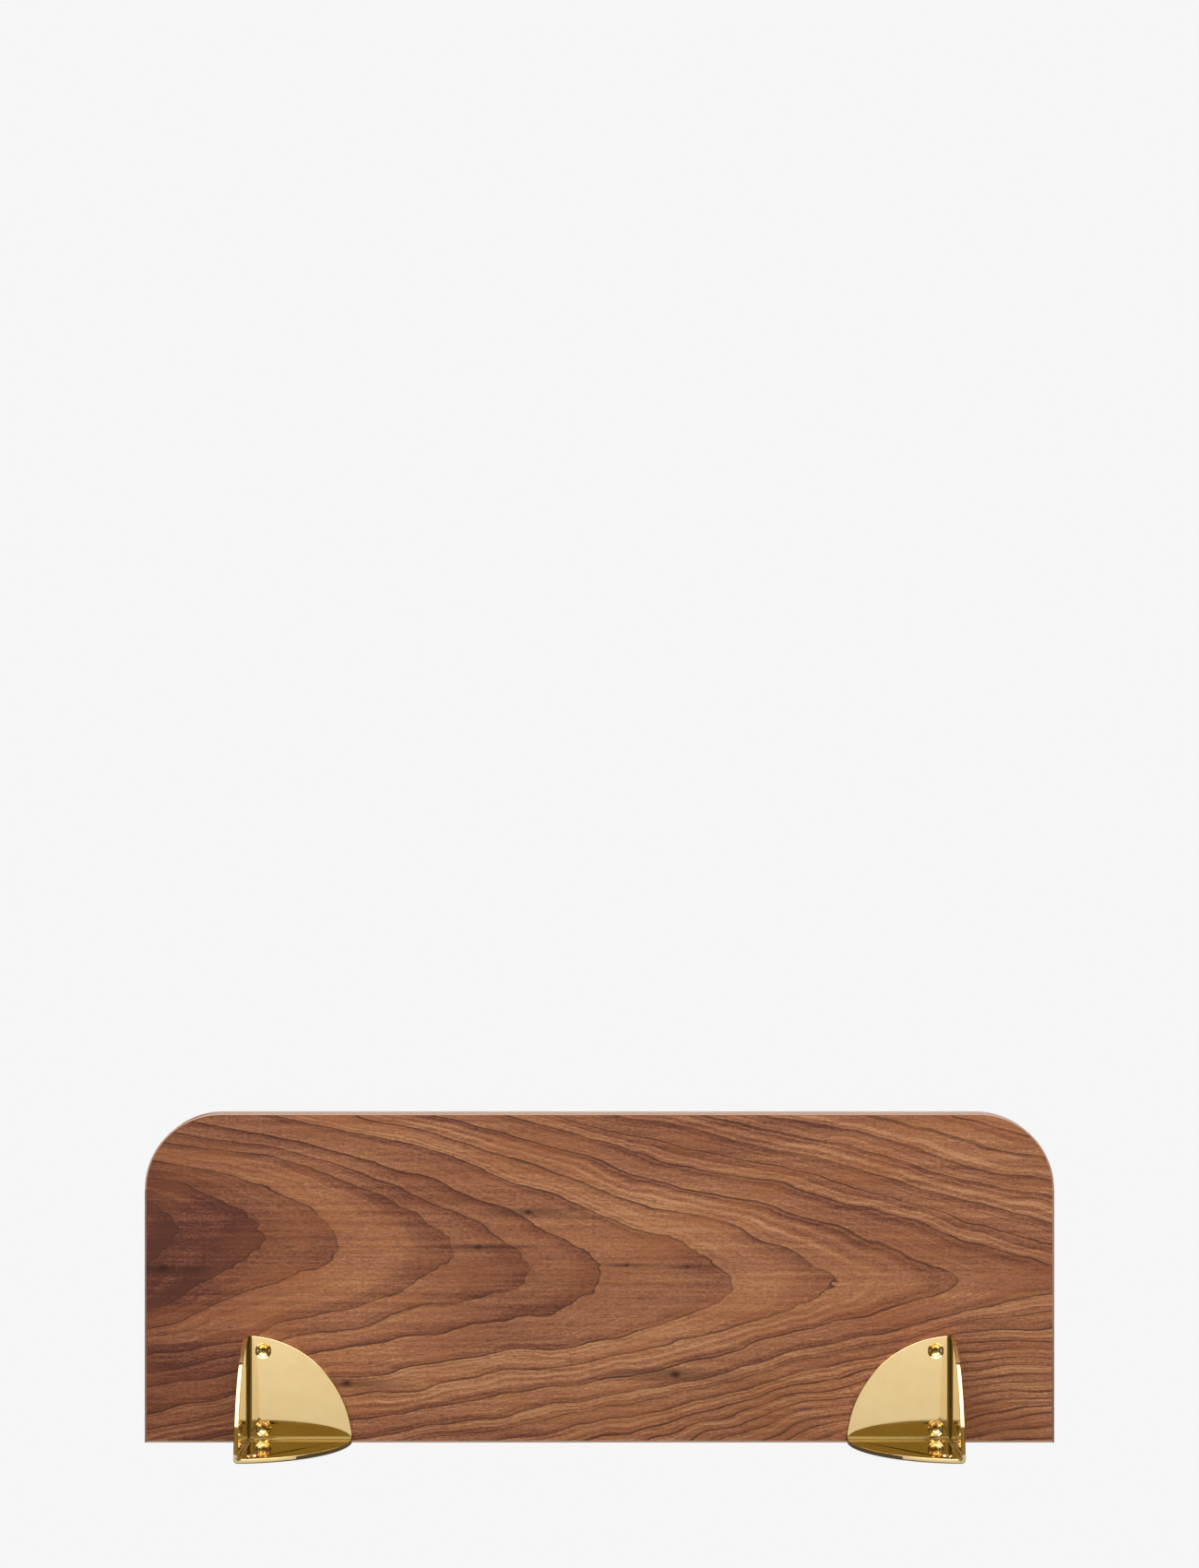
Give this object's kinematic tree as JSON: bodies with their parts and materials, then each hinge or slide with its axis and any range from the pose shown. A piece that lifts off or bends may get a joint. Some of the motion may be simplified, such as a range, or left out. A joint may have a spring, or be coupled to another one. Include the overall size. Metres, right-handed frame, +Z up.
{
  "type": "wall shelf with brackets",
  "caption": "Shelf board with rounded front corners, veneered in walnut, on polished brass corner brackets of quarter-round leaves.",
  "frame": {"origin": "middle of the board's back edge, at half the board's thickness, on the wall's surface", "axes": "+X along the board, to the right seen from the front; +Y into the wall; +Z up"},
  "size_m": [0.6, 0.217, 0.088],
  "materials": {
    "fibreboard": "raw",
    "walnut_veneer": "satin lacquer",
    "walnut_band": "satin lacquer",
    "polished_brass": "mirror polished",
    "brass_screw": "polished"
  },
  "bodies": {
    "root": {"board_core": "fibreboard", "under_veneer": "walnut_veneer", "upper_veneer": "walnut_veneer", "front_edge_band": "walnut_band", "back_edge_band": "walnut_band", "left_bracket": "polished_brass", "right_bracket": "polished_brass", "left_back_screw": "brass_screw", "left_front_screw": "brass_screw", "right_back_screw": "brass_screw", "right_front_screw": "brass_screw"}
  },
  "joints": []
}
